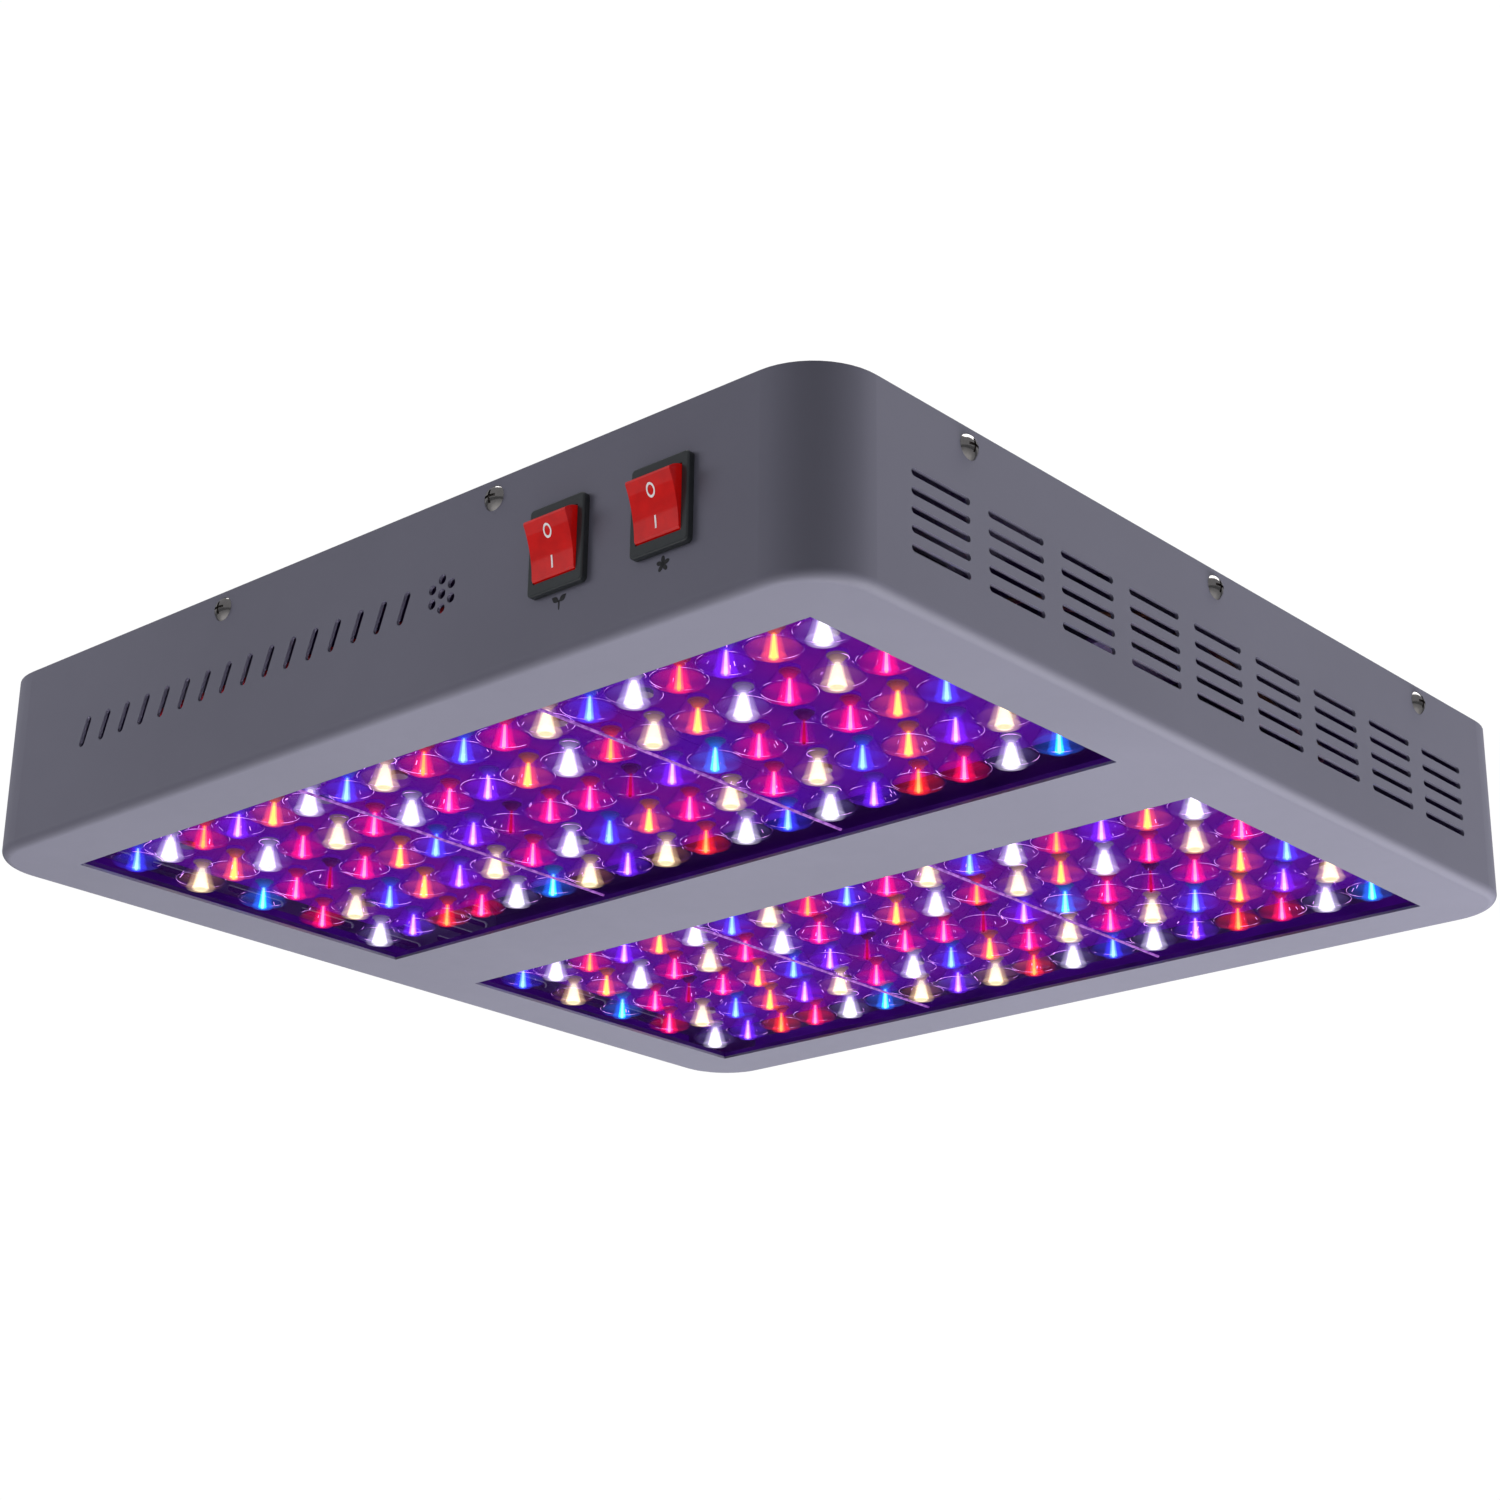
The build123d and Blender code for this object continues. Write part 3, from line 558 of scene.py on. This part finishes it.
def veil_profile(mouth, low):
    return [
        (mouth, low),
        (mouth * 0.93, low + 0.9 * MM),
        (mouth * 0.66, low + (CORE_HEAD - low) * 0.42),
        (mouth * 0.30, CORE_HEAD),
    ]


def light_shapes(name, colour, profile, segments, material):
    """The same shape of light in each cone of one colour."""
    verts, faces = [], []
    for centre in LEDS[colour]:
        spun(verts, faces, centre, profile, segments)
    made = piece(name, verts, faces, material)
    made.visible_shadow = False


def light_cores():
    """In each cone, the bright core that its LED throws, and veils of coloured light round it."""
    for colour in LEDS:
        paint = core_light(colour, CORE_FOOT, CORE_HEAD)
        light_shapes(f"light_core_{colour}", colour, core_profile(colour), CORE_SEGMENTS, paint)
        veils = WIDE_VEILS if colour in WIDE_COLOURS else SLIM_VEILS
        for number, (mouth, strength, shade, lift) in enumerate(veils, 1):
            low = CORE_FOOT + lift * MM
            paint = halo_light(colour, strength, shade, low, CORE_HEAD)
            profile = veil_profile(mouth * MM, low)
            light_shapes(f"light_veil_{colour}_{number}", colour, profile, VEIL_SEGMENTS, paint)


# ---------------------------------------------------------------- glints
RIM_RADIUS, RIM_THICK = 9.3 * MM, 0.07 * MM
APEX_RADIUS, APEX_THICK = 3.7 * MM, 0.13 * MM
MOUTH_HEIGHT = LENS_LOW.z + 1.3 * MM
APEX_HEIGHT = LENS_HIGH.z
FLANK_FOOT_RADIUS, FLANK_NARROWING = 8.7, 4.9
DASHES_PER_CONE, DASH_WIDTH = 8, 0.13 * MM
HOOP_SEGMENTS = 36


def hoop(verts, faces, centre, radius, height, thick):
    """Thin closed ring lying flat: a three-sided section carried round a circle."""
    start = len(verts)
    section = ((-thick, 0.0), (thick, 0.0), (0.0, thick * 1.4))
    for angle in round_about(HOOP_SEGMENTS):
        for out, rise in section:
            reach = radius + out
            x, y = centre.x + reach * math.cos(angle), centre.y + reach * math.sin(angle)
            verts.append((x, y, height + rise))
    for k in range(HOOP_SEGMENTS):
        a, b = start + 3 * k, start + 3 * ((k + 1) % HOOP_SEGMENTS)
        for side in range(3):
            after = (side + 1) % 3
            faces.append((a + side, b + side, b + after, a + after))


def dash(verts, faces, centre, angle, near, far):
    """Short glint down a cone's flank: a slim four-sided bar from one (radius, height) to another."""
    along = Vector((math.cos(angle), math.sin(angle), 0))
    across = Vector((-math.sin(angle), math.cos(angle), 0))
    start = len(verts)
    for radius, height in (near, far):
        middle = Vector((centre.x, centre.y, height)) + along * radius
        for shift in (across * DASH_WIDTH, along * DASH_WIDTH, across * -DASH_WIDTH, along * -DASH_WIDTH):
            verts.append(middle + shift)
    for side in range(4):
        after = (side + 1) % 4
        faces.append((start + side, start + after, start + 4 + after, start + 4 + side))
    capped(faces, start, 4, 2)


def flank_point(share):
    """Radius and height of a point on a cone's flank, a share of the way up."""
    radius = (FLANK_FOOT_RADIUS - FLANK_NARROWING * share) * MM
    return radius, MOUTH_HEIGHT + (APEX_HEIGHT - MOUTH_HEIGHT) * share


def glints():
    """Rims and flanks of the cones, where they sparkle."""
    dice = random.Random(7)
    verts, faces = [], []
    for colour, centres in LEDS.items():
        for centre in centres:
            hoop(verts, faces, centre, RIM_RADIUS, MOUTH_HEIGHT, RIM_THICK)
            if colour in WIDE_COLOURS:
                hoop(verts, faces, centre, APEX_RADIUS, APEX_HEIGHT - 0.4 * MM, APEX_THICK)
            for _ in range(DASHES_PER_CONE):
                angle = dice.uniform(0, 2 * math.pi)
                share = dice.uniform(0.02, 0.40)
                reach = share + dice.uniform(0.08, 0.20)
                dash(verts, faces, centre, angle, flank_point(share), flank_point(reach))
    made = piece("cup_glints", verts, faces, glint_light())
    made.visible_shadow = False


# ---------------------------------------------------------------- boards and seams
# Painted light on the boards: a violet glow everywhere, and the glow of each LED near a point.
WASH_SPREAD = 11.0 * MM
WASH_LIMIT = 9.0
WASH_BASE = (0.046, 0.001, 0.165)
WASH_STRENGTH, WASH_GREEN = 0.085, 0.10
BOARD_CELLS = (40, 52)
# Section of a seam: mm to the side, mm down from the lens panel.
SEAM_SECTION = ((-0.7, 0.0), (-0.5, -0.45), (-0.15, -0.6), (0.15, -0.6), (0.5, -0.45), (0.7, 0.0))
SEAM_STEPS = 40
GASKET_LIP = 5 * MM


def wash_at(x, y):
    """Colour of the light that reaches a point of the boards, from the LEDs round it."""
    total = Vector(WASH_BASE)
    for colour, centres in LEDS.items():
        glow = Vector(LIGHT[colour][GLOW])
        if colour in WIDE_COLOURS:
            glow *= 0.5
        for centre in centres:
            reach = ((centre.x - x) ** 2 + (centre.y - y) ** 2) / WASH_SPREAD**2
            if reach < WASH_LIMIT:
                total += glow * (WASH_STRENGTH * math.exp(-reach))
    total.y *= WASH_GREEN
    return total


def slab(low, high):
    """Vertices and faces of a flat box whose two broad sides are finely divided."""
    across, along = BOARD_CELLS
    row = across + 1
    grid = [
        (low.x + (high.x - low.x) * i / across, low.y + (high.y - low.y) * j / along)
        for j in range(along + 1) for i in range(row)
    ]
    verts = [(x, y, low.z) for x, y in grid] + [(x, y, high.z) for x, y in grid]
    top = len(grid)
    corners = [j * row + i for j in range(along) for i in range(across)]
    faces = [(a, a + row, a + row + 1, a + 1) for a in corners]
    faces += [(top + a, top + a + 1, top + a + row + 1, top + a + row) for a in corners]
    rim = list(range(across))
    rim += [across + j * row for j in range(along)]
    rim += [along * row + across - i for i in range(across)]
    rim += [(along - j) * row for j in range(along)]
    faces += [(a, b, b + top, a + top) for a, b in zip(rim, rim[1:] + rim[:1])]
    return verts, faces


def boards():
    """LED boards with the LEDs' light painted on them as glow, a colour at each vertex."""
    paint = lit_board()
    for node in sorted(n for n in NODES if n.startswith("led_board")):
        low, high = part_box(node)
        verts, faces = slab(low, high)
        made = piece(f"lit_{node}", verts, faces, paint, smooth=False)
        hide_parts(node)
        painted_led_light = made.data.color_attributes.new("painted_led_light", "FLOAT_COLOR", "POINT")
        for vertex, value in zip(made.data.vertices, painted_led_light.data):
            value.color = (*wash_at(vertex.co.x, vertex.co.y), 1.0)


def seam(name, x, y_low, y_high, height, paint):
    verts, faces = [], []
    for j in range(SEAM_STEPS + 1):
        y = y_low + (y_high - y_low) * j / SEAM_STEPS
        verts += [(x + aside * MM, y, height + drop * MM) for aside, drop in SEAM_SECTION]
    walled(faces, 0, len(SEAM_SECTION), SEAM_STEPS + 1)
    capped(faces, 0, len(SEAM_SECTION), SEAM_STEPS + 1)
    piece(name, verts, faces, paint, smooth=False)


def seams():
    """Raised edges where two lens panels meet."""
    paint = seam_light()
    for window in ("front", "rear"):
        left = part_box(f"lens_panel_{window}_left")
        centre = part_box(f"lens_panel_{window}_centre")
        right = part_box(f"lens_panel_{window}_right")
        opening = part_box(f"window_gasket_{window}")
        y_low, y_high = opening[0].y + GASKET_LIP, opening[1].y - GASKET_LIP
        for side, x in (("left", (left[1].x + centre[0].x) / 2), ("right", (centre[1].x + right[0].x) / 2)):
            seam(f"lens_seam_{window}_{side}", x, y_low, y_high, centre[0].z, paint)


# ---------------------------------------------------------------- printed marks
WALL_INK = 0.06 * MM
ROCKER_INK = 0.05 * MM
MARK_DROP = 3.6 * MM
PETALS = [math.radians(90 + 72 * k) for k in range(5)]
ROCKER_TILT = math.radians(15)
# Ring and bar of a rocker, in mm on its face, which is seen narrower than it is tall.
RING_INNER, RING_OUTER, RING_HEIGHT, RING_STEPS = 1.35, 2.0, 4.7, 32
RING_WIDTH_SHARE, RING_TALL_SHARE = 0.82, 1.15
BAR_HALF, BAR_HEIGHTS = 0.32, (-7.0, -6.0, -5.0, -4.0, -3.0)
HUB_LABEL = ((12.6, 0.0), (12.6, 0.12), (10.2, 0.14), (10.0, 0.04), (9.6, 0.04), (9.4, 0.14), (2.0, 0.14))


def flat_mark(name, outlines, place, thickness, material, body):
    """Printed mark: closed outlines in mm, each point put in the row frame by place(u, v, lift)."""
    verts, faces = [], []
    for outline in outlines:
        start = len(verts)
        verts += [place(u, v, 0.0) for u, v in outline]
        verts += [place(u, v, thickness) for u, v in outline]
        capped(faces, start, len(outline), 2)
        walled(faces, start, len(outline), 2)
    piece(name, verts, faces, material, body, smooth=False)


def turned(points, degrees):
    cos, sin = math.cos(math.radians(degrees)), math.sin(math.radians(degrees))
    return [(x * cos - y * sin, x * sin + y * cos) for x, y in points]


def moved(points, dx, dy):
    return [(x + dx, y + dy) for x, y in points]


def oval(cx, cy, rx, ry, turn=0.0):
    points = [(rx * math.cos(angle), ry * math.sin(angle)) for angle in round_about(20)]
    return moved(turned(points, turn), cx, cy)


def leaf(base_x, base_y, length, width, turn):
    """Pointed leaf that starts at a base point and reaches out at an angle."""
    steps = 12
    half = [(length * k / steps, width * math.sin(math.pi * k / steps) ** 1.2) for k in range(steps + 1)]
    outline = half + [(x, -y) for x, y in reversed(half[1:-1])]
    return moved(turned(outline, turn), base_x, base_y)


def wall_marks():
    """A sprout below the first switch and a flower below the second, in black ink."""
    ink = printed("black_ink", (0.012, 0.012, 0.014))
    sprout = [leaf(0, 0.2, 3.6, 0.95, 32), leaf(0, 0.2, 3.6, 0.95, 148), oval(0, -0.9, 0.32, 1.6)]
    flower = [oval(1.5 * math.cos(a), 1.5 * math.sin(a), 1.15, 0.72, math.degrees(a)) for a in PETALS]
    flower.append(oval(0, 0, 0.6, 0.6))
    for number, outlines in ((1, sprout), (2, flower)):
        low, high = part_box(f"switch_body_{number}")
        centre_x = (low.x + high.x) / 2
        centre_z = low.z - MARK_DROP

        def place(u, v, lift):
            return (centre_x + u * MM, TRAY_LOW.y - lift - 0.02 * MM, centre_z + v * MM)

        flat_mark(f"switch_mark_{number}", outlines, place, WALL_INK, ink, "root")


def ring_and_bar():
    """The off and on signs as closed outlines."""
    outlines = []
    step = 2 * math.pi / RING_STEPS
    for k in range(RING_STEPS):
        a, b = step * k, step * (k + 1)
        quad = [(RING_INNER, a), (RING_OUTER, a), (RING_OUTER, b), (RING_INNER, b)]
        outlines.append([
            (RING_WIDTH_SHARE * r * math.cos(t), RING_HEIGHT + RING_TALL_SHARE * r * math.sin(t))
            for r, t in quad
        ])
    right = [(BAR_HALF, v) for v in BAR_HEIGHTS]
    left = [(-BAR_HALF, v) for v in reversed(BAR_HEIGHTS)]
    outlines.append(left[-1:] + right + left)
    return outlines


def rocker_marks():
    """White ring and bar on each rocker, laid on its dished face."""
    ink = printed("white_ink", (0.85, 0.82, 0.82))
    joints = {joint["child"]: joint for joint in frame["joints"]}
    out = Vector((0, -math.cos(ROCKER_TILT), -math.sin(ROCKER_TILT)))
    up = Vector((0, -math.sin(ROCKER_TILT), math.cos(ROCKER_TILT)))
    for number in (1, 2):
        body = f"rocker_{number}"
        mesh = NODES[body].data
        mesh.calc_loop_triangles()
        surface = BVHTree.FromPolygons(
            [v.co for v in mesh.vertices], [tuple(t.vertices) for t in mesh.loop_triangles]
        )
        pivot = Vector(joints[body]["pos_m"])

        def place(u, v, lift):
            start = pivot + Vector((u * MM, 0, 0)) + up * (v * MM) + out * (30 * MM)
            hit = surface.ray_cast(start, -out)[0]
            return hit + out * (lift + 0.03 * MM)

        flat_mark(f"rocker_mark_{number}", ring_and_bar(), place, ROCKER_INK, ink, body)


def hub_labels():
    """Plain label on each fan hub: a dull silver disc with one groove."""
    paint = bright_metal("hub_label", (0.45, 0.46, 0.48), 0.35, 0.5)
    for number in range(1, 5):
        body = f"fan_rotor_{number}"
        low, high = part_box(body)
        centre = ((low.x + high.x) / 2, (low.y + high.y) / 2)
        verts, faces = [], []
        spun(verts, faces, centre, [(r * MM, high.z + h * MM) for r, h in HUB_LABEL], 48)
        piece(f"hub_label_{number}", verts, faces, paint, body, smooth=False)


# ---------------------------------------------------------------- stage
FLOOR_HEIGHT, FLOOR_SIDE = -1.6, 9.0
BACKDROP_STRENGTH, STUDIO_STRENGTH = 1.02, 0.5
HORIZON = ((0.575, (0.30, 0.31, 0.33)), (0.590, (0.74, 0.75, 0.79)))
DIM_VIOLET = (0.010, 0.002, 0.020, 1)
LAMP_AIM = (0, 0, 0.03)
# Name, place, two sides in metres, watts, whether the lamp shows in mirrors.
LAMPS = (
    ("key_below", (0.35, 0.9, -1.2), (1.8, 1.8), 78, False),
    ("right_side", (1.9, 1.3, 0.35), (1.0, 1.0), 13, False),
    ("left_front", (-1.5, -1.5, 0.5), (1.2, 0.8), 27, False),
    ("top_soft", (0.0, 0.6, 1.8), (1.8, 1.8), 45, True),
)


def pale_floor():
    side = FLOOR_SIDE
    verts = [(x, y, FLOOR_HEIGHT) for x, y in ((-side, -side), (side, -side), (side, side), (-side, side))]
    s = Shader("floor")
    s.principled(Base_Color=s.ramp(s.noise(2.0), (0.3, grey(0.86)), (0.7, grey(0.90))), Roughness=0.7)
    mesh = bpy.data.meshes.new("floor")
    mesh.from_pydata(verts, [], [(0, 1, 2, 3)])
    mesh.materials.append(s.material)
    floor = bpy.data.objects.new("floor", mesh)
    bpy.context.scene.collection.objects.link(floor)


def studio_world():
    """White behind the lamp, dim where it is seen through the lamp, and a grey studio for all other rays."""
    world = bpy.data.worlds.new("world")
    world.use_nodes = True
    w = Nodes(world.node_tree, "OutputWorld")
    height = w.rise(w.node("TexCoord").outputs["Generated"], -1.0, 1.0)
    white = w.node("Background", Color=(1, 1, 1, 1), Strength=BACKDROP_STRENGTH)
    dim = w.node("Background", Color=DIM_VIOLET)
    studio = w.node("Background", Color=w.ramp(height, *HORIZON), Strength=STUDIO_STRENGTH)
    path = w.node("LightPath")
    through = w.maths("GREATER_THAN", path.outputs["Transparent Depth"], 0.5)
    w.surface(w.mixed(path.outputs["Is Camera Ray"], studio, w.mixed(through, white, dim)))
    bpy.context.scene.world = world


def lamp(name, place, size, watts, mirrored):
    data = bpy.data.lights.new(name, "AREA")
    data.shape = "RECTANGLE"
    data.size, data.size_y = size
    data.energy = watts
    made = bpy.data.objects.new(name, data)
    made.visible_glossy = mirrored
    direction = Vector(LAMP_AIM) - Vector(place)
    made.rotation_euler = direction.to_track_quat("-Z", "Y").to_euler()
    made.location = place
    bpy.context.scene.collection.objects.link(made)


# ---------------------------------------------------------------- materials on the CAD parts
DOME_HEIGHT = 2.9 * MM


def dress():
    """Gives every CAD part the material of its slot."""
    paints = {
        "housing_paint": powder_coat(),
        "screw_black": moulded("screw_black", (0.012, 0.010, 0.016), 0.30),
        "screw_nickel": bright_metal("screw_nickel", (0.30, 0.285, 0.275), 0.09, 0.18, 900.0),
        "gasket_black": lit_gasket(),
        "lens_clear": clear_lens(),
        "sink_aluminium": anodised_sink(),
        "fan_black": moulded("fan_black", (0.018, 0.018, 0.020), 0.42),
        "guard_chrome": bright_metal("guard_chrome", (0.75, 0.76, 0.78), 0.10, 0.20),
        "driver_case": brushed_metal("driver_case", (0.55, 0.56, 0.58), (2.0, 40.0, 40.0)),
        "switch_black": moulded("switch_black", (0.026, 0.030, 0.032), 0.36),
        "rocker_red": lit_rocker(),
        "inlet_black": moulded("inlet_black", (0.016, 0.016, 0.018), 0.38),
        "terminal_white": moulded("terminal_white", (0.72, 0.70, 0.62), 0.40),
        "eye_zinc": bright_metal("eye_zinc", (0.62, 0.63, 0.66), 0.22, 0.38),
        "wire_brown": wire_sleeve("wire_brown", (0.10, 0.030, 0.010)),
        "wire_red": wire_sleeve("wire_red", (0.55, 0.008, 0.008)),
        "board_white": moulded("board_white", (0.6, 0.6, 0.62), 0.4),
    }
    for colour in LEDS:
        low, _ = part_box(f"leds_{colour}")
        paints[f"led_{colour}"] = led_package(colour, low.z, low.z + DOME_HEIGHT)
    for name, node in NODES.items():
        for material_slot in node.material_slots:
            material_slot.material = paints[SLOT_OF[name]]


scene = bpy.context.scene
scene.view_settings.view_transform = "Standard"
scene.cycles.transparent_max_bounces = 48
look_through()
dress()
boards()
light_cores()
glints()
seams()
wall_marks()
rocker_marks()
hub_labels()
pale_floor()
studio_world()
for settings in LAMPS:
    lamp(*settings)
